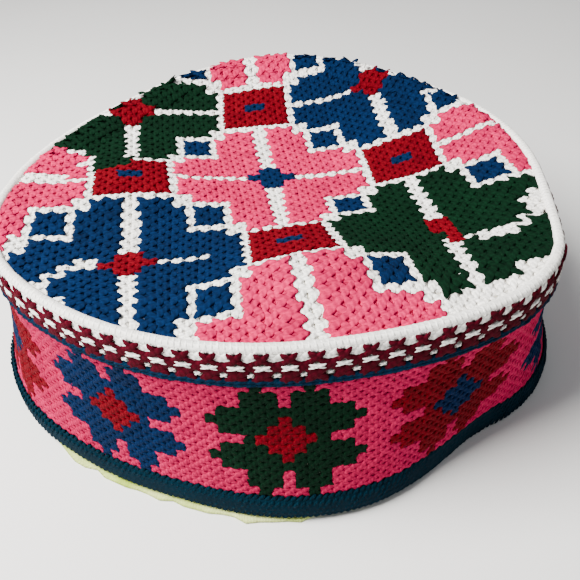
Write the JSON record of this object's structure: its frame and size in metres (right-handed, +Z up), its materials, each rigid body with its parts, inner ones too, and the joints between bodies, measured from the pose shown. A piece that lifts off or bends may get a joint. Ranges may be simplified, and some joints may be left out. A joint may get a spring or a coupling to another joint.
{
  "type": "cross-stitched pillbox cap",
  "caption": "Round flat-topped soft cap worked all over in wool cross stitch, with a whipped edge cord, a patterned trim, a flowered side band, a folded hem binding and a lining.",
  "frame": {"origin": "middle of the cap's box in plan, on the surface that its hem rests on", "axes": "+Z up, through the crown; -Y is the front of the cap as the picture shows it; +X is to the viewer's right"},
  "size_m": [0.205, 0.1942, 0.0724],
  "materials": {
    "crown_wool": "matt wool cross stitch in pink, blue, green, red and cream",
    "cream_wool": "matt cream wool, whipped over a cord",
    "maroon_wool": "matt maroon wool with cream stitches",
    "navy_wool": "matt dark blue wool",
    "band_wool": "matt wool cross stitch, flowers on a pink ground",
    "teal_wool": "matt dark teal wool braid",
    "pink_wool": "matt wool, pink stitches of the crown and band",
    "blue_wool": "matt wool, dark blue stitches",
    "green_wool": "matt wool, dark green stitches",
    "red_wool": "matt wool, deep red stitches",
    "lime_cotton": "matt pale lime cotton"
  },
  "bodies": {
    "root": {"crown": "crown_wool", "crown_welt": "cream_wool", "trim_band": "maroon_wool", "trim_cord": "navy_wool", "side_band": "band_wool", "hem_binding": "teal_wool", "lining": "lime_cotton"}
  },
  "joints": []
}
